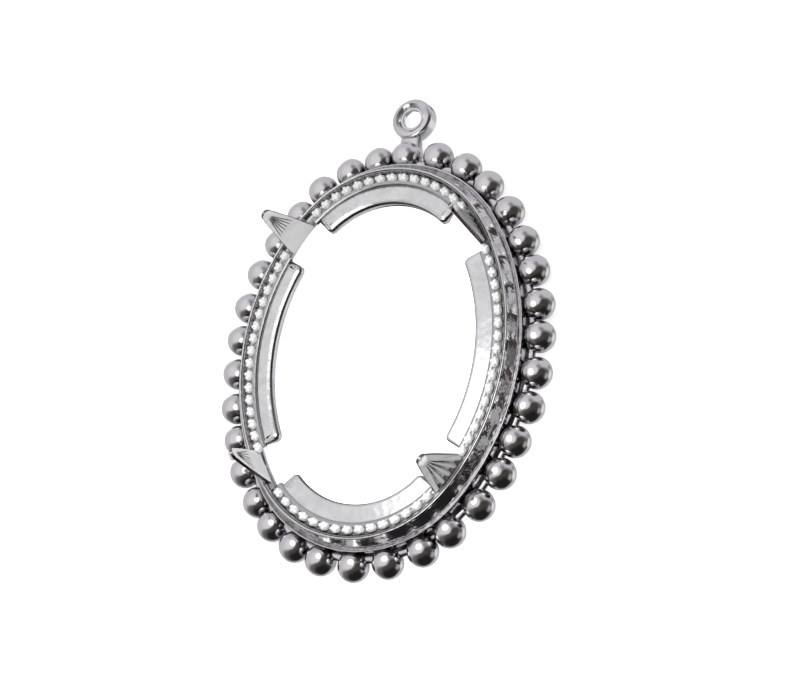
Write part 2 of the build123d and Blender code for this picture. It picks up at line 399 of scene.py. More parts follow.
def group_tree(name, inputs, outputs):
    """A shader node group with named inputs and outputs."""
    tree = bpy.data.node_groups.new(name, "ShaderNodeTree")
    for label, kind, value in inputs:
        socket = tree.interface.new_socket(name=label, in_out="INPUT", socket_type=kind)
        socket.default_value = value
    for label, kind in outputs:
        tree.interface.new_socket(name=label, in_out="OUTPUT", socket_type=kind)
    return tree, tree.nodes.new("NodeGroupInput"), tree.nodes.new("NodeGroupOutput")


def feed(tree, socket, value):
    """Gives a socket its value: a link from another socket, or a plain number, vector or colour."""
    if isinstance(value, bpy.types.NodeSocket):
        tree.links.new(value, socket)
    else:
        socket.default_value = value


def math_node(tree, operation, first, second=None, third=None):
    """A maths node fed by sockets or numbers."""
    node = tree.nodes.new("ShaderNodeMath")
    node.operation = operation
    for socket, value in zip(node.inputs, (first, second, third)):
        if value is not None:
            feed(tree, socket, value)
    return node.outputs[0]


def vector_maths(tree, operation, first, second=None):
    """A vector maths node fed by sockets or vectors."""
    node = tree.nodes.new("ShaderNodeVectorMath")
    node.operation = operation
    for socket, value in zip(node.inputs, (first, second)):
        if value is not None:
            feed(tree, socket, value)
    return node


def spread(tree, value, low, high, to_low=0.0, to_high=1.0):
    """Maps a value smoothly from one range to another."""
    node = tree.nodes.new("ShaderNodeMapRange")
    node.interpolation_type = "SMOOTHSTEP"
    feed(tree, node.inputs["Value"], value)
    feed(tree, node.inputs["From Min"], low)
    feed(tree, node.inputs["From Max"], high)
    feed(tree, node.inputs["To Min"], to_low)
    feed(tree, node.inputs["To Max"], to_high)
    return node.outputs["Result"]


def blend(tree, factor, first, second):
    """Mixes two colours, each a socket or a colour."""
    node = tree.nodes.new("ShaderNodeMix")
    node.data_type = "RGBA"
    tree.links.new(factor, node.inputs["Factor"])
    for label, value in (("A", first), ("B", second)):
        socket = [s for s in node.inputs if s.name == label and s.type == "RGBA"][0]
        feed(tree, socket, value if isinstance(value, bpy.types.NodeSocket) else (*value, 1.0))
    return [s for s in node.outputs if s.type == "RGBA"][0]


def noise(tree, vector, scale, detail=3.0, roughness=0.55, distortion=0.0):
    """Noise at a scale per metre."""
    node = tree.nodes.new("ShaderNodeTexNoise")
    node.inputs["Scale"].default_value = scale
    node.inputs["Detail"].default_value = detail
    node.inputs["Roughness"].default_value = roughness
    node.inputs["Distortion"].default_value = distortion
    tree.links.new(vector, node.inputs["Vector"])
    return node.outputs["Fac"]


def polish_group():
    """Uneven polish: soft ripples, fine scratches and hazy patches."""
    tree, given, out = group_tree(
        "hand polish",
        [
            ("Ripple Size", "NodeSocketFloat", 0.002),
            ("Ripple Height", "NodeSocketFloat", 1.0),
            ("Scratch Height", "NodeSocketFloat", 0.2),
        ],
        [("Height", "NodeSocketFloat"), ("Haze", "NodeSocketFloat")],
    )
    place = tree.nodes.new("ShaderNodeTexCoord").outputs["Object"]
    rate = math_node(tree, "DIVIDE", 1.0, given.outputs["Ripple Size"])
    scaled = vector_maths(tree, "SCALE", place)
    tree.links.new(rate, scaled.inputs["Scale"])
    ripple = noise(tree, scaled.outputs[0], 1.0, detail=2.0)
    fine = noise(tree, place, 5200.0, detail=2.0, roughness=0.6)
    stretched = vector_maths(tree, "MULTIPLY", place, (900.0, 7200.0, 2400.0))
    scratch = noise(tree, stretched.outputs[0], 1.0, detail=2.0, roughness=0.7)
    high = math_node(tree, "MULTIPLY", ripple, given.outputs["Ripple Height"])
    scratch_share = math_node(tree, "MULTIPLY", scratch, 0.6)
    fine_share = math_node(tree, "MULTIPLY", fine, 0.4)
    marks = math_node(tree, "ADD", scratch_share, fine_share)
    low = math_node(tree, "MULTIPLY", marks, given.outputs["Scratch Height"])
    tree.links.new(math_node(tree, "ADD", high, low), out.inputs["Height"])
    haze = noise(tree, place, 420.0, detail=4.0, roughness=0.65)
    tree.links.new(spread(tree, haze, 0.35, 0.7), out.inputs["Haze"])


def shade_group():
    """Painted shade that gathers in the hollows, where little light reaches."""
    tree, given, out = group_tree(
        "low place shade",
        [("Reach", "NodeSocketFloat", 0.0006), ("Strength", "NodeSocketFloat", 0.6)],
        [("Mask", "NodeSocketFloat")],
    )
    nearby = tree.nodes.new("ShaderNodeAmbientOcclusion")
    nearby.samples = 6
    nearby.only_local = False
    tree.links.new(given.outputs["Reach"], nearby.inputs["Distance"])
    place = tree.nodes.new("ShaderNodeTexCoord").outputs["Object"]
    cloud = noise(tree, place, 900.0, detail=3.0)
    hollow = math_node(tree, "SUBTRACT", 1.0, nearby.outputs["AO"])
    uneven = math_node(tree, "MULTIPLY", hollow, spread(tree, cloud, 0.3, 0.7, 0.65, 1.15))
    strong = math_node(tree, "MULTIPLY", uneven, given.outputs["Strength"])
    tree.links.new(spread(tree, strong, 0.05, 0.75), out.inputs["Mask"])


def place_group(tree, name, **values):
    """Places a node group in a material or in the room, with its own values."""
    node = tree.nodes.new("ShaderNodeGroup")
    node.node_tree = bpy.data.node_groups[name]
    for label, value in values.items():
        node.inputs[label.replace("_", " ").title()].default_value = value
    return node


def plate(name, base, shade, *, roughness, haze, ripple_size, scratch, reach, strength, bump,
          ripple_height=1.0, frost=0.0, cloud=1.0):
    """Silver-coloured plate with uneven polish, duller clouds and painted shade in its low places."""
    _, tree, shader = new_material(name)
    polish = place_group(
        tree, "hand polish", ripple_size=ripple_size, ripple_height=ripple_height, scratch_height=scratch
    )
    low = place_group(tree, "low place shade", reach=reach, strength=strength)
    duller = tuple(part * cloud for part in base)
    clouded = blend(tree, polish.outputs["Haze"], base, duller)
    # Painted shade: the plate's colour darkens towards the shade colour in its hollows and between parts
    painted_shade_tint = blend(tree, low.outputs["Mask"], clouded, shade)
    tree.links.new(painted_shade_tint, shader.inputs["Base Color"])
    worn = math_node(tree, "MULTIPLY_ADD", polish.outputs["Haze"], haze, roughness)
    tree.links.new(worn, shader.inputs["Roughness"])
    shader.inputs["Metallic"].default_value = 1.0 - frost
    relief = tree.nodes.new("ShaderNodeBump")
    relief.inputs["Distance"].default_value = bump
    relief.inputs["Strength"].default_value = 1.0
    tree.links.new(polish.outputs["Height"], relief.inputs["Height"])
    tree.links.new(relief.outputs["Normal"], shader.inputs["Normal"])


class PENDANT_OT_finishes(bpy.types.Operator):
    """Make the plate finishes and the effects that they share"""

    bl_idname = "pendant.finishes"
    bl_label = "Finishes"

    def execute(self, context):
        look = context.scene.pendant_finish
        bright, satin, shade = tuple(look.bright), tuple(look.satin), tuple(look.shade)
        flange, frosted, painted_dark_edge = tuple(look.flange), tuple(look.frosted), tuple(look.painted_dark_edge)
        polished = look.bright_roughness
        brushed = look.satin_roughness
        polish_group()
        shade_group()
        plate("ball polish", bright, shade, roughness=polished + 0.03, haze=0.05, ripple_size=0.0016,
              scratch=0.06, reach=0.0012, strength=0.8, bump=0.00003)
        plate("frame polish", bright, shade, roughness=polished - 0.01, haze=0.05, ripple_size=0.0012,
              scratch=0.04, reach=0.0009, strength=0.6, bump=0.00011)
        plate("loop polish", bright, shade, roughness=polished, haze=0.06, ripple_size=0.0020,
              scratch=0.05, reach=0.0008, strength=0.5, bump=0.00003)
        # The seat ring takes the darker flange colour: painted shade round the milgrain and in its channel
        plate("seat polish", flange, shade, roughness=polished + 0.07, haze=0.08, ripple_size=0.0016,
              scratch=0.10, reach=0.0005, strength=0.65, bump=0.00004)
        plate("bead sparkle", frosted, shade, roughness=brushed + 0.05, haze=0.08, ripple_size=0.0006,
              scratch=0.30, reach=0.0002, strength=0.6, bump=0.00003, frost=0.8 * look.frost)
        plate("ledge satin", satin, shade, roughness=brushed - 0.16, haze=0.10, ripple_size=0.0028,
              scratch=0.10, reach=0.0005, strength=0.7, bump=0.00010, cloud=0.84)
        plate("prong satin", frosted, shade, roughness=brushed + 0.25, haze=0.08, ripple_size=0.0010,
              ripple_height=0.7, scratch=0.20, reach=0.00035, strength=1.0, bump=0.00004,
              frost=look.frost, cloud=0.90)
        plate("painted dark edge", painted_dark_edge, shade, roughness=polished + 0.14, haze=0.10, ripple_size=0.0008,
              ripple_height=0.7, scratch=0.20, reach=0.0004, strength=0.8, bump=0.00003)
        return {"FINISHED"}


class PENDANT_OT_balls(bpy.types.Operator):
    """Set the balls of the border round the web"""

    bl_idname = "pendant.balls"
    bl_label = "Ball border"

    def execute(self, context):
        sizes = context.scene.pendant_frame
        oval = seat_oval(context.scene.pendant_seat)
        around = oval.around(sizes.ball_path)
        uneven_depth = 0.03 * MM
        bm = bmesh.new()
        for i in range(sizes.ball_count):
            along = BALLS_ALONG[i % len(BALLS_ALONG)] * MM
            run = (i * around / sizes.ball_count + along) % around
            middle, outward = oval.at(run, sizes.ball_path)
            middle += outward * BALLS_OUTWARD[i % len(BALLS_OUTWARD)] * MM
            middle.z = sizes.ball_radius
            turned = Matrix.Rotation(i * 2.4, 4, "Z") @ Matrix.Rotation(i * 1.1, 4, "X")
            ball = bmesh.ops.create_uvsphere(
                bm,
                u_segments=48,
                v_segments=32,
                radius=sizes.ball_radius,
                matrix=Matrix.Translation(middle) @ turned,
            )
            for vert in ball["verts"]:
                way = (vert.co - middle).normalized()
                uneven = sin(3.1 * way.x + i) * sin(2.7 * way.y + 2 * i) * sin(2.9 * way.z + 3 * i)
                vert.co -= way * (uneven_depth * (1 + uneven))
        piece("ball_border", bm, ["ball polish"], "ball_frame")
        return {"FINISHED"}


def frame_section(sizes, run_share):
    """Section of the frame: web, ridge, hollow, wall, collar and inner shelf, slightly uneven."""
    web_top = sizes.ball_radius + sizes.web_thickness / 2
    web_bottom = sizes.ball_radius - sizes.web_thickness / 2
    web_edge = sizes.web_width
    web_fall = 0.2 * MM
    web_shoulder = 0.35 * MM
    web_round = 0.15 * MM
    ridge_side = sizes.ridge_height - sizes.ridge_radius
    ridge_outer = sizes.ridge_path + sizes.ridge_radius
    ridge_inner = sizes.ridge_path - sizes.ridge_radius
    collar_outer = sizes.collar_path
    collar_inner = collar_outer - sizes.collar_thickness
    collar_top = sizes.collar_height - sizes.collar_thickness / 2
    shelf_inner = collar_inner - sizes.shelf_reach
    wall_steps = 10
    wall_curve = 1.25
    hollow = ridge_side - sizes.hollow_depth
    hollow_floor = hollow - 0.04 * MM
    hollow_side = hollow + 0.06 * MM
    wave = hand_wave(run_share, 0.7, 0.02 * MM)
    drift = hand_wave(run_share, 2.3, 0.03 * MM)
    points = arc((sizes.ridge_path, ridge_side + wave), sizes.ridge_radius, 180, 0, 12)
    points += [(ridge_outer, web_top - web_fall)]
    crown = (ridge_outer + web_edge) / 2
    for k in range(1, 10):
        offset = ridge_outer + (web_edge - ridge_outer) * k / 10
        fall = ((offset - crown) / (web_edge - crown)) ** 2
        points.append((offset, web_top - web_fall * fall))
    points += arc((web_edge - web_round, web_top - web_shoulder), web_round, 45, 0, 3)
    points += arc((web_edge - web_round, web_bottom + web_round), web_round, 0, -90, 4)
    points += [(sizes.web_inner, web_bottom)]
    points += [(shelf_inner, sizes.shelf_height - sizes.shelf_thickness)]
    points += [(shelf_inner, sizes.shelf_height), (collar_inner, sizes.shelf_height)]
    top_middle = (collar_outer - sizes.collar_thickness / 2, collar_top + wave)
    points += arc(top_middle, sizes.collar_thickness / 2, 180, 0, 8)
    foot = ridge_inner - sizes.hollow_width
    for k in range(1, wall_steps + 1):
        down = k / wall_steps
        bulge = sin(pi * down)
        offset = collar_outer + (foot - collar_outer) * down ** wall_curve
        points.append((offset + drift * bulge, collar_top + (hollow - collar_top) * down))
    points += [(foot + sizes.hollow_width * 0.5, hollow_floor), (ridge_inner, hollow_side)]
    return points


class PENDANT_OT_ring(bpy.types.Operator):
    """Carry the frame's web, ridge, wall and collar round the oval"""

    bl_idname = "pendant.ring"
    bl_label = "Frame ring"

    def execute(self, context):
        sizes = context.scene.pendant_frame
        oval = seat_oval(context.scene.pendant_seat)
        around = oval.around()
        bm = bmesh.new()
        carried(bm, oval, [(run, frame_section(sizes, run / around)) for run in even_runs(oval)])
        piece("frame_ring", bm, ["frame polish"], "ball_frame", 40)
        return {"FINISHED"}


def loop_rings(sizes, middle, back, top):
    """The hanging loop: its section turned round the hole, slightly out of true outside the dish."""
    dish = top - sizes.dish_depth
    back_slope = 0.75 * MM
    step_slope = 0.17 * MM
    # Each corner's radius from the hole's middle and height, and its rounding in millimetres
    corners = (
        (sizes.hole_radius, back + sizes.back_dish, 0.05),
        (sizes.hole_radius + back_slope, back, 0.1),
        (sizes.loop_radius, back, 0.45),
        (sizes.loop_radius, top - sizes.loop_fall, 0.5),
        (sizes.dish_radius, top, 0.04),
        (sizes.step_radius, dish, 0.08),
        (sizes.step_radius - step_slope, dish - sizes.step_depth, 0.04),
        (sizes.hole_radius, dish - sizes.step_depth, 0.12),
    )
    outline = rounded([(r, h) for r, h, _ in corners], [soft * MM for _, _, soft in corners], steps=12)
    turns = 120
    rings = []
    for i in range(turns):
        turn = 2 * pi * i / turns
        uneven = 1 + 0.012 * sin(2 * turn + 0.6) + 0.006 * sin(3 * turn)
        way = Vector((cos(turn), sin(turn), 0))
        ring = []
        for radius, height in outline:
            stretch = uneven if radius > sizes.step_radius else 1
            ring.append(middle + way * radius * stretch + Vector((0, 0, height)))
        rings.append(ring)
    return rings


def stem_rings(sizes, root, end, height):
    """The loop's stem, from the balls up to the loop, wider at its root."""
    steps = 14
    round_steps = 32
    rings = []
    for i in range(steps + 1):
        along = i / steps
        y = root + (end - root) * along
        flare = (1 - along) ** 2
        width = sizes.stem_width / 2 + (sizes.stem_root_width - sizes.stem_width) / 2 * flare
        thickness = sizes.stem_thickness / 2 * (1 + 0.1 * flare)
        ring = []
        for k in range(round_steps):
            turn = 2 * pi * k / round_steps
            ring.append(Vector((width * cos(turn), y, height + thickness * sin(turn))))
        rings.append(ring)
    return rings


class PENDANT_OT_loop(bpy.types.Operator):
    """Turn the hanging loop and join it to the border with its stem"""

    bl_idname = "pendant.loop"
    bl_label = "Hanging loop"

    def execute(self, context):
        sizes = context.scene.pendant_frame
        oval = seat_oval(context.scene.pendant_seat)
        root, outward = oval.at(0, sizes.ball_path)
        middle = root + outward * sizes.loop_standoff
        back = sizes.loop_back
        top = back + sizes.loop_thickness
        stem_end = middle.y - sizes.loop_radius * 0.75
        bm = bmesh.new()
        skin(bm, loop_rings(sizes, middle, back, top))
        stem = skin(bm, stem_rings(sizes, root.y, stem_end, (back + top) / 2), closed=False)
        bm.faces.new(stem[0])
        bm.faces.new(stem[-1])
        piece("hanging_loop", bm, ["loop polish"], "ball_frame", 50)
        return {"FINISHED"}


def prong_places(seat, oval):
    """Each prong's run, and its matrix: X along the rim, Y up the prong and Z outward."""
    half = oval.around() / 2
    runs = {
        "upper_right": seat.prong_distance,
        "lower_right": half - seat.prong_distance,
        "lower_left": half + seat.prong_distance,
        "upper_left": 2 * half - seat.prong_distance,
    }
    foot = seat.flange_height - seat.ledge_step - seat.ledge_thickness
    places = {}
    for name, run in runs.items():
        point, outward = oval.at(run + PRONG_SHIFTS[name] * MM)
        origin = point + outward * PRONG_OFFSETS[name] * MM
        origin.z = foot
        along = Vector((-outward.y, outward.x, 0))
        axes = Matrix((along, Vector((0, 0, 1)), outward)).transposed().to_4x4()
        lean = Matrix.Rotation(radians(PRONG_LEANS[name]), 4, "X")
        places[name] = (run, Matrix.Translation(origin) @ axes @ lean)
    return places


def gap_edges(seat, oval):
    """For each prong: where its gap starts and ends round the oval, and the prong's matrix."""
    half = seat.prong_width / 2 + seat.prong_side_gap
    return [(run - half, run + half, place) for run, place in prong_places(seat, oval).values()]


def clear_runs(seat, oval):
    """Half of each stretch between the prongs' gaps, along the wall: at the ends and at the sides."""
    gap_half = seat.prong_width / 2 + seat.prong_side_gap
    end = seat.prong_distance - gap_half
    side = oval.around() / 4 - seat.prong_distance - gap_half
    return end, side


def plane_offset(oval, run, place):
    """Distance outward from the wall to a prong's back at a run."""
    point, outward = oval.at(run)
    normal = place.to_3x3() @ Vector((0, 0, 1))
    normal.z = 0
    normal.normalize()
    origin = place.translation.copy()
    origin.z = 0
    return max(0.0, (origin - point).dot(normal) / outward.dot(normal))


def flange_cuts(seat, oval):
    """Runs in order round the oval, each with the offset that the flange is cut back to there."""
    gaps = gap_edges(seat, oval)
    behind = seat.prong_thickness * 0.6
    same_place = 1e-6
    cuts = []
    for run in even_runs(oval):
        if any(abs(run - edge) < same_place for gap in gaps for edge in gap[:2]):
            continue
        inside = [place for start, end, place in gaps if start < run < end]
        inner = plane_offset(oval, run, inside[0]) + behind if inside else 0.0
        cuts.append((run, 0, inner))
    for start, end, place in gaps:
        cuts.append((start, 0, 0.0))
        cuts.append((start, 1, plane_offset(oval, start, place) + behind))
        cuts.append((end, 0, plane_offset(oval, end, place) + behind))
        cuts.append((end, 1, 0.0))
    cuts.sort()
    return [(run, inner) for run, _, inner in cuts]


def seat_section(seat, sizes, inner, wave):
    """Section of the seat ring, with its flange cut back to an inner offset."""
    rim_outer = sizes.collar_path - sizes.collar_thickness - seat.nest_gap
    rim_inner = rim_outer - seat.skirt_thickness
    rim_foot = rim_outer - seat.rim_width
    rim_height = seat.flange_height + seat.rim_rise
    rim_round = 0.07 * MM
    channel = seat.flange_height - seat.channel_depth
    channel_side = 0.12 * MM
    corner = 0.04 * MM
    groove = seat.bead_path
    reach = seat.bead_radius * 0.6
    groove_edge, groove_side, groove_floor = (
        seat.flange_height - depth * MM for depth in (0.02, 0.09, 0.13)
    )
    slope_round = 0.05 * MM
    ledge_height = seat.flange_height - seat.ledge_step
    ledge_round = 0.03 * MM
    under = seat.flange_height - seat.flange_thickness
    foot = sizes.shelf_height + seat.nest_gap
    rim = arc((rim_outer - rim_round, rim_height - rim_round + wave), rim_round, 0, 105, 8)
    rest = [
        (rim_foot, channel + corner),
        (rim_foot - corner, channel),
        (groove + reach + channel_side, channel),
        (groove + reach, groove_edge),
        (groove + reach * 0.6, groove_side),
        (groove, groove_floor),
        (groove - reach * 0.6, groove_side),
        (groove - reach, groove_edge),
        (groove - reach - slope_round, seat.flange_height),
        (seat.flange_edge + slope_round, seat.flange_height),
        (seat.flange_edge - slope_round, groove_edge),
        (corner, ledge_height + ledge_round),
        (0.0, ledge_height - ledge_round),
        (0.0, ledge_height - seat.ledge_thickness),
        (seat.flange_edge, under),
        (rim_inner, under),
        (rim_inner, foot),
        (rim_outer, foot),
    ]
    return rim + [(max(offset, inner), height) for offset, height in rest]


class PENDANT_OT_seat(bpy.types.Operator):
    """Carry the seat's rim, groove, flange and skirt round the oval"""

    bl_idname = "pendant.seat"
    bl_label = "Seat ring"

    def execute(self, context):
        seat = context.scene.pendant_seat
        sizes = context.scene.pendant_frame
        oval = seat_oval(seat)
        around = oval.around()
        sections = []
        for run, inner in flange_cuts(seat, oval):
            wave = hand_wave(run / around, 1.3, 0.015 * MM)
            sections.append((run, seat_section(seat, sizes, inner, wave)))
        bm = bmesh.new()
        carried(bm, oval, sections)
        bmesh.ops.dissolve_degenerate(bm, dist=1e-7, edges=bm.edges)
        piece("seat_ring", bm, ["seat polish"], "stone_seat", 35)
        return {"FINISHED"}


def bead(bm, seat, middle, along, count):
    """One milgrain bead, drawn out along its row, with four lobes that catch the light."""
    stretch = 0.3
    lobe_aside = 0.27
    lobe_up = 0.26 * MM
    turned = Matrix.Rotation(count * 2.4, 4, "Z") @ Matrix.Rotation(count * 0.7, 4, "X")
    place = Matrix.Translation(middle) @ turned
    made = bmesh.ops.create_icosphere(bm, subdivisions=3, radius=seat.bead_radius, matrix=place)
    for vert in made["verts"]:
        away = vert.co - middle
        vert.co += along * away.dot(along) * stretch
    for lobe in range(4):
        side = count * 1.3 + lobe * pi / 2
        lift = Vector((cos(side), sin(side), 0)) * lobe_aside * MM + Vector((0, 0, lobe_up))
        size = seat.bead_radius * (0.53 + 0.06 * sin(3 * side))
        spot = Matrix.Translation(middle + lift + along * lift.dot(along) * 0.4)
        bmesh.ops.create_icosphere(bm, subdivisions=2, radius=size, matrix=spot)


class PENDANT_OT_beads(bpy.types.Operator):
    """Set the milgrain beads in a row on the flange"""

    bl_idname = "pendant.beads"
    bl_label = "Milgrain"

    def execute(self, context):
        seat = context.scene.pendant_seat
        oval = seat_oval(seat)
        around = oval.around(seat.bead_path)
        clear = clear_runs(seat, oval)
        bm = bmesh.new()
        count = 0
        for quarter in range(4):
            clear_run = clear[quarter % 2] * around / oval.around()
            steps = int(2 * clear_run / seat.bead_pitch)
            first = quarter / 4 * around - steps / 2 * seat.bead_pitch
            for i in range(steps + 1):
                middle, outward = oval.at((first + i * seat.bead_pitch) % around, seat.bead_path)
                middle.z = seat.flange_height
                bead(bm, seat, middle, Vector((outward.y, -outward.x, 0)), count)
                count += 1
        piece("milgrain", bm, ["bead sparkle"], "stone_seat", 60)
        return {"FINISHED"}


def inward_ways(outline):
    """For each point of a closed outline, the way inward that keeps a strip's width at the corners."""
    ways = []
    for i, point in enumerate(outline):
        before = (point - outline[i - 1]).normalized()
        after = (outline[(i + 1) % len(outline)] - point).normalized()
        side = before + after
        side.normalize()
        miter = 1 / max(0.5, side.dot(after))
        ways.append(Vector((-side.y, side.x)) * miter)
    return ways


def ledge_outline(seat, centre, radius, start, end, missing):
    """Outline of a ledge stretch seen from above, with rounded inner corners."""
    overlap = 0.1 * MM
    step = 0.5 * MM
    inner = radius - seat.ledge_width + missing
    outer = radius + seat.flange_edge + overlap
    steps = ceil((end - start) * radius / step)
    margin = 1.2 * MM / inner
    turns = [start + (end - start) * k / steps for k in range(steps + 1)]
    points = [(outer, turn, 0.0) for turn in turns]
    points += [(inner, end, seat.ledge_corner)]
    points += [(inner, turn, 0.0) for turn in reversed(turns) if start + margin < turn < end - margin]
    points += [(inner, start, seat.ledge_corner)]
    flat = [(centre[0] + r * cos(turn), centre[1] + r * sin(turn)) for r, turn, _ in points]
    return rounded(flat, [corner for _, _, corner in points], steps=14)


def ledge(bm, seat, centre, radius, start, end, top, missing, fold, lip_depth):
    """One ledge stretch: a flat strip with rounded inner corners, a sloping fold and a lip."""
    outline = ledge_outline(seat, centre, radius, start, end, missing)
    inward = inward_ways(outline)
    lip_start = 0.4 * MM
    lips = []
    for point in outline:
        reach = hypot(point.x - centre[0], point.y - centre[1])
        lips.append(min(1.0, max(0.0, (radius - reach) / lip_start)))

    def ring(inset, depth):
        """Points a distance inside the outline and below the ledge's top."""
        made = []
        for point, way, lip in zip(outline, inward, lips):
            moved = point + way * inset
            below = min(depth, seat.ledge_thickness + lip * lip_depth)
            made.append(Vector((moved.x, moved.y, top - below)))
        return made

    slope = radians(25)
    bend = min(seat.lip_bend, fold)
    soft = fold / (2 * sin(slope))
    bend_reach = bend * (1 - sin(slope))
    drop = soft * (1 - cos(slope)) + fold / 2 * tan(slope)
    rings = [ring(bend_reach + fold + 0.04 * MM, 0.0)]
    for k in range(5):
        turn = slope * k / 4
        rings.append(ring(bend_reach + fold - soft * sin(turn), soft * (1 - cos(turn))))
    for k in range(9):
        turn = slope + (pi / 2 - slope) * k / 8
        rings.append(ring(bend * (1 - sin(turn)), drop + bend * (cos(slope) - cos(turn))))
    # Round the lip's lower edge and up its inner face: how far inside the outline and below the top
    lip_path = (
        (0.0, lip_depth - 0.08 * MM),
        (0.03 * MM, lip_depth - 0.02 * MM),
        (0.1 * MM, lip_depth),
        (seat.lip_thickness - 0.06 * MM, lip_depth),
        (seat.lip_thickness, lip_depth - 0.06 * MM),
        (seat.lip_thickness, seat.ledge_thickness + 0.03 * MM),
        (seat.lip_thickness + 0.04 * MM, seat.ledge_thickness),
    )
    rings += [ring(inset, depth) for inset, depth in lip_path]
    made = skin(bm, rings, closed=False)
    for edge_ring in (made[0], made[-1]):
        for corners in tessellate_polygon([[v.co for v in edge_ring]]):
            bm.faces.new([edge_ring[i] for i in corners])
    darken_bend(bm, top, seat.lip_bend, fold)


def darken_bend(bm, top, lip_bend, fold):
    """Gives the second finish to the faces along a ledge's bend: a painted dark reflection that shows as a
    dark line.
    """
    bm.normal_update()
    for face in bm.faces:
        low = top - face.calc_center_median().z
        tilt = abs(face.normal.z)
        if fold < lip_bend:
            darkened = 0.05 * MM < low < 0.40 * MM and tilt < 0.9
        else:
            darkened = low < lip_bend + fold and 0.32 < tilt < 0.76
        face.material_index = 1 if darkened else 0


class PENDANT_OT_ledges(bpy.types.Operator):
    """Bend the four ledge stretches that carry the stone"""

    bl_idname = "pendant.ledges"
    bl_label = "Ledges"

    def execute(self, context):
        seat = context.scene.pendant_seat
        oval = seat_oval(seat)
        end_run, side_run = clear_runs(seat, oval)
        runs = {"top": end_run, "right": side_run, "bottom": end_run, "left": side_run}
        top = seat.flange_height - seat.ledge_step
        for name, (centre, radius, middle, _) in oval.arcs().items():
            first_trim, last_trim = (trim * MM for trim in LEDGE_TRIMS[name])
            missing, fold, lip_depth = (size * MM for size in LEDGE_FOLDS[name])
            start = middle - (runs[name] - last_trim) / radius
            end = middle + (runs[name] - first_trim) / radius
            bm = bmesh.new()
            ledge(bm, seat, centre, radius, start, end, top, missing, fold, lip_depth)
            piece("ledge_" + name, bm, ["ledge satin", "painted dark edge"], "stone_seat", 60)
        return {"FINISHED"}


def quarter_round(inward):
    """Fall of a rounded edge as a share of its radius, from 1 at the edge to 0 where the rounding ends."""
    return 1 - sqrt(1 - (1 - inward) ** 2)


def prong(bm, seat, width):
    """One prong in its own plane: a plate with a round end, ribs fanning from it and a two-lobed knob."""
    foot = seat.flange_height - seat.ledge_step - seat.ledge_thickness
    knob = seat.prong_tip_radius
    thick = seat.prong_thickness
    rise = seat.prong_height - foot - knob
    rib_start = seat.flange_height - foot
    spread_half = width / 2 - seat.rib_foot_radius
    lobe = knob * 0.72
    valley_depth = 0.2 * MM
    front_round = 0.05 * MM
    back_round = 0.22 * MM
    back_rise = 0.09 * MM
    crease_half = 0.08 * MM
    crease_depth = 0.15 * MM
    rows_down = 60
    across = 120

    def half_width(down):
        """Half the prong's width, from its tip at 0 to its foot at 1."""
        return knob + (width / 2 - knob) * down ** 0.88

    stations = []
    for angle in (86, 76, 66, 56, 46, 36, 26, 17, 8):
        stations.append((rise + knob * sin(radians(angle)), knob * cos(radians(angle)), 0.0))
    for i in range(rows_down + 1):
        down = i / rows_down
        stations.append((rise - down * (rise - rib_start), half_width(down), down))
    stations += [(rib_start * left, width / 2, 1.0) for left in (0.66, 0.33, 0.0)]
    rows = []
    for y, half, down in stations:
        rib = seat.rib_tip_radius + (seat.rib_foot_radius - seat.rib_tip_radius) * down
        valley = thick - valley_depth * min(1.0, 3 * down)
        fade = sqrt(max(0.0, 1 - 1.45 * down)) * min(1.0, 8 * down)
        front = []
        back = []
        for j in range(across + 1):
            x = half * (2 * j / across - 1)
            z = valley if abs(x) < spread_half * down else thick
            crease = 0.0
            for n in range(seat.rib_count):
                middle = spread_half * (2 * n / (seat.rib_count - 1) - 1) * down
                reach = abs(x - middle)
                if reach < rib:
                    z = max(z, valley + (thick - valley + rib) * sqrt(1 - (reach / rib) ** 2))
                crease = max(crease, 1 - abs(reach - rib) / crease_half)
            for side in (-1, 1):
                reach = hypot(x - side * (knob - lobe) * 0.9, y - rise)
                if reach < lobe:
                    z = max(z, thick + sqrt(lobe ** 2 - reach ** 2))
            front_in = min(1.0, (half - abs(x)) / front_round)
            back_in = min(1.0, (half - abs(x)) / back_round)
            front.append(Vector((x, y, z - front_round * quarter_round(front_in))))
            rolled = back_rise * quarter_round(back_in)
            back.append(Vector((x, y, rolled + crease_depth * max(0.0, crease) * fade)))
        rows.append(front + list(reversed(back)))
    made = skin(bm, rows, closed=False)
    bm.faces.new(made[0])
    bm.faces.new(made[-1])
    bm.normal_update()
    # The second finish paints the prongs' side edges dark as a painted reflection, and their rolled back
    # edges and creases dark as painted shade
    for face in bm.faces:
        middle = face.calc_center_median()
        steep = abs(face.normal.z) < 0.75 and abs(face.normal.x) > 0.1
        if steep and 0.02 * MM < middle.z < thick:
            down = min(1.0, max(0.0, (rise - middle.y) / (rise - rib_start)))
            at_side = abs(middle.x) > half_width(down) - 0.06 * MM or middle.y > rise + 0.1 * MM
            face.material_index = 1 if at_side or middle.z < 0.16 * MM else 0


class PENDANT_OT_prongs(bpy.types.Operator):
    """Stand the four ribbed prongs in their gaps"""

    bl_idname = "pendant.prongs"
    bl_label = "Prongs"

    def execute(self, context):
        seat = context.scene.pendant_seat
        oval = seat_oval(seat)
        for name, (_, place) in prong_places(seat, oval).items():
            bm = bmesh.new()
            prong(bm, seat, seat.prong_width + PRONG_WIDER[name] * MM)
            bm.transform(place)
            piece("prong_" + name, bm, ["prong satin", "painted dark edge"], "stone_seat", 50)
        return {"FINISHED"}


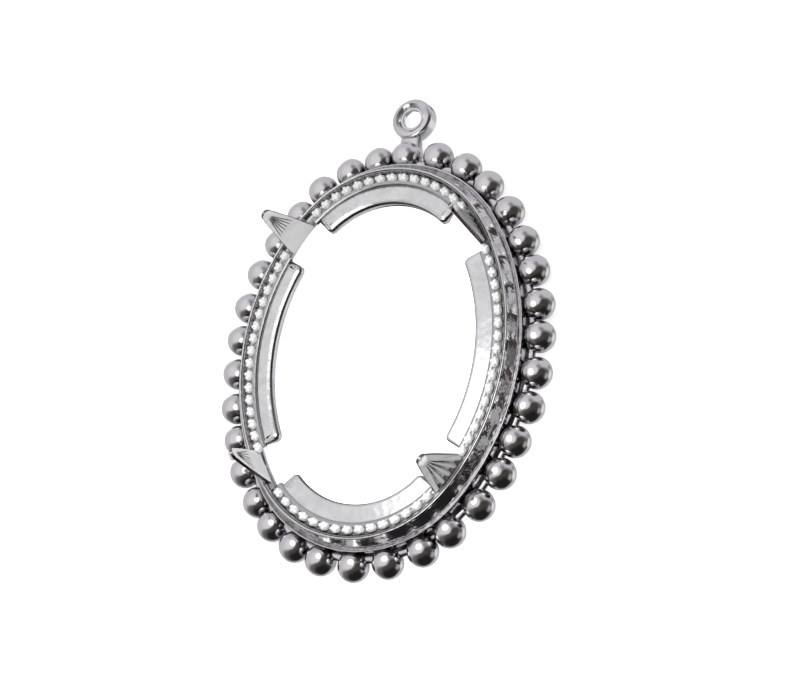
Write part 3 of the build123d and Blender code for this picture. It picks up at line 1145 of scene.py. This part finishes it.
def soft_card_group():
    """A soft-edged card seen in the plate, as a mask over the directions round the setting."""
    tree, given, out = group_tree(
        "soft card",
        [
            ("Turn", "NodeSocketFloat", 0.0),
            ("Height", "NodeSocketFloat", 0.0),
            ("Middle Turn", "NodeSocketFloat", 0.0),
            ("Middle Height", "NodeSocketFloat", 0.0),
            ("Half Width", "NodeSocketFloat", 1.0),
            ("Half Height", "NodeSocketFloat", 1.0),
            ("Inside", "NodeSocketFloat", 0.6),
        ],
        [("Mask", "NodeSocketFloat")],
    )
    aside = math_node(tree, "SUBTRACT", given.outputs["Turn"], given.outputs["Middle Turn"])
    aside = math_node(tree, "WRAP", aside, pi, -pi)
    aside = math_node(tree, "DIVIDE", aside, given.outputs["Half Width"])
    above = math_node(tree, "SUBTRACT", given.outputs["Height"], given.outputs["Middle Height"])
    above = math_node(tree, "DIVIDE", above, given.outputs["Half Height"])
    wide = math_node(tree, "POWER", math_node(tree, "ABSOLUTE", aside), 3.0)
    tall = math_node(tree, "POWER", math_node(tree, "ABSOLUTE", above), 3.0)
    reach = math_node(tree, "POWER", math_node(tree, "ADD", wide, tall), 1 / 3)
    mask = spread(tree, reach, given.outputs["Inside"], 1.0, 1.0, 0.0)
    tree.links.new(mask, out.inputs["Mask"])


# What the plate reflects: each card's turn from the top, height, half width and half height in degrees,
# its colour, and the share of it inside its soft edge
CARDS = [
    (40, 38, 44, 27, (0.26, 0.255, 0.26), 0.15),
    (148, 4, 104, 66, (0.145, 0.138, 0.132), 0.72),
    (98, 28, 56, 42, (0.062, 0.054, 0.050), 0.48),
    (150, 44, 72, 26, (0.075, 0.067, 0.062), 0.40),
    (160, -6, 62, 56, (0.016, 0.016, 0.017), 0.48),
    (103, -18, 22, 19, (0.42, 0.42, 0.42), 0.30),
    (84, -48, 31, 21, (0.86, 0.86, 0.88), 0.45),
    (46, -40, 15, 15, (0.17, 0.165, 0.16), 0.25),
    (312, -26, 21, 22, (1.10, 1.10, 1.12), 0.30),
    (297, -63, 75, 19, (0.04, 0.04, 0.04), 0.50),
]


def build_room(stage):
    """White surround for the camera, and light walls with soft dark cards for the plate to reflect."""
    soft_card_group()
    world = bpy.data.worlds.new("studio")
    world.use_nodes = True
    bpy.context.scene.world = world
    tree = world.node_tree
    tree.nodes.clear()
    way = tree.nodes.new("ShaderNodeTexCoord").outputs["Generated"]
    unit = vector_maths(tree, "NORMALIZE", way).outputs["Vector"]
    parts = tree.nodes.new("ShaderNodeSeparateXYZ")
    tree.links.new(unit, parts.inputs["Vector"])
    high = spread(tree, parts.outputs["Z"], 0.3, 1.0)
    look = blend(tree, high, tuple(stage.room), tuple(stage.ceiling))
    turn = math_node(tree, "ARCTAN2", parts.outputs["X"], parts.outputs["Y"])
    height = math_node(tree, "ARCSINE", parts.outputs["Z"])
    for middle_turn, middle_height, wide, tall, card, inside in CARDS:
        node = place_group(
            tree,
            "soft card",
            middle_turn=radians(middle_turn),
            middle_height=radians(middle_height),
            half_width=radians(wide),
            half_height=radians(tall),
            inside=inside,
        )
        tree.links.new(turn, node.inputs["Turn"])
        tree.links.new(height, node.inputs["Height"])
        look = blend(tree, node.outputs["Mask"], look, card)
    seen = tree.nodes.new("ShaderNodeLightPath").outputs["Is Camera Ray"]
    look = blend(tree, seen, look, (1.0, 1.0, 1.0))
    sky = tree.nodes.new("ShaderNodeBackground")
    tree.links.new(look, sky.inputs["Color"])
    output = tree.nodes.new("ShaderNodeOutputWorld")
    tree.links.new(sky.outputs["Background"], output.inputs["Surface"])


def build_floor():
    """Plain pale floor under the setting."""
    bm = bmesh.new()
    bmesh.ops.create_grid(bm, x_segments=8, y_segments=8, size=1.5)
    mesh = bpy.data.meshes.new("floor")
    bm.to_mesh(mesh)
    bm.free()
    material, tree, shader = new_material("pale floor")
    shader.inputs["Base Color"].default_value = (0.9, 0.9, 0.9, 1.0)
    shader.inputs["Roughness"].default_value = 1.0
    shader.inputs["Specular IOR Level"].default_value = 0.0
    shader.inputs["Emission Color"].default_value = (1.0, 1.0, 1.0, 1.0)
    shader.inputs["Emission Strength"].default_value = 0.75
    mesh.materials.append(material)
    floor = bpy.data.objects.new("floor", mesh)
    bpy.context.scene.collection.objects.link(floor)
    floor.visible_glossy = False
    floor.visible_diffuse = False


class PENDANT_OT_stage(bpy.types.Operator):
    """Set up the floor, the studio light and the camera"""

    bl_idname = "pendant.stage"
    bl_label = "Stage"

    def execute(self, context):
        scene = context.scene
        stage = scene.pendant_stage
        build_room(stage)
        build_floor()
        # Each lamp's name, place and aim in millimetres, power, and whether polished plate mirrors it
        lamps = (
            ("round lamp", (2.8, -9.7, 40.4), (2.8, -9.7, 0.0), stage.lamp_power, True),
            ("soft fill", (2.8, -9.7, 40.4), (2.8, -9.7, 0.0), stage.fill_power, False),
            ("side fill", (42.0, -56.0, 30.0), (6.0, -14.0, 6.0), stage.side_power, False),
        )
        for name, place, aim, power, mirrored in lamps:
            lamp_data = bpy.data.lights.new(name, "AREA")
            lamp_data.shape = "DISK"
            lamp_data.size = 2 * stage.lamp_radius
            lamp_data.energy = power
            lamp = bpy.data.objects.new(name, lamp_data)
            lamp.location = Vector(place) * MM
            lamp.rotation_euler = (Vector(aim) - Vector(place)).to_track_quat("-Z", "Y").to_euler()
            lamp.visible_camera = False
            lamp.visible_glossy = mirrored
            scene.collection.objects.link(lamp)
        # The camera's lens, place and turn were fitted to the photograph
        camera_data = bpy.data.cameras.new("camera")
        camera_data.sensor_width = 36.0
        camera_data.lens = 90.29
        camera_data.clip_start = 0.01
        camera_data.clip_end = 10.0
        camera = bpy.data.objects.new("camera", camera_data)
        right = Vector((0.88469, 0.11964, -0.45056)).normalized()
        back = Vector((0.46611, -0.24269, 0.85079)).normalized()
        up = back.cross(right).normalized()
        eye = Vector((109.752, -58.151, 199.048)) * MM
        turned = Matrix((right, up, back)).transposed().to_4x4()
        camera.matrix_world = Matrix.Translation(eye) @ turned
        scene.collection.objects.link(camera)
        scene.camera = camera
        scene.view_settings.view_transform = "Standard"
        return {"FINISHED"}


OPERATORS = (
    PENDANT_OT_finishes,
    PENDANT_OT_balls,
    PENDANT_OT_ring,
    PENDANT_OT_loop,
    PENDANT_OT_seat,
    PENDANT_OT_beads,
    PENDANT_OT_ledges,
    PENDANT_OT_prongs,
    PENDANT_OT_stage,
)


class PENDANT_PT_sidebar(bpy.types.Panel):
    """Lists the setting's pieces and sizes"""

    bl_label = "Pendant Setting"
    bl_idname = "PENDANT_PT_sidebar"
    bl_space_type = "VIEW_3D"
    bl_region_type = "UI"
    bl_category = "Pendant"

    def draw(self, context):
        for operator in OPERATORS:
            self.layout.operator(operator.bl_idname)
        for group in ("pendant_frame", "pendant_seat", "pendant_finish", "pendant_stage"):
            sizes = getattr(context.scene, group)
            box = self.layout.box()
            for name in sizes.__annotations__:
                box.prop(sizes, name)


GROUPS = {
    "pendant_frame": PendantFrameSizes,
    "pendant_seat": PendantSeatSizes,
    "pendant_finish": PendantFinish,
    "pendant_stage": PendantStage,
}


def register():
    for group in GROUPS.values():
        bpy.utils.register_class(group)
    for name, group in GROUPS.items():
        setattr(bpy.types.Scene, name, PointerProperty(type=group))
    for operator in OPERATORS:
        bpy.utils.register_class(operator)
    bpy.utils.register_class(PENDANT_PT_sidebar)


def unregister():
    bpy.utils.unregister_class(PENDANT_PT_sidebar)
    for operator in reversed(OPERATORS):
        bpy.utils.unregister_class(operator)
    for name, group in GROUPS.items():
        delattr(bpy.types.Scene, name)
        bpy.utils.unregister_class(group)


def main():
    """Builds every piece in order."""
    register()
    bpy.ops.pendant.finishes()
    bpy.ops.pendant.balls()
    bpy.ops.pendant.ring()
    bpy.ops.pendant.loop()
    bpy.ops.pendant.seat()
    bpy.ops.pendant.beads()
    bpy.ops.pendant.ledges()
    bpy.ops.pendant.prongs()
    bpy.ops.pendant.stage()


if __name__ == "__main__":
    main()
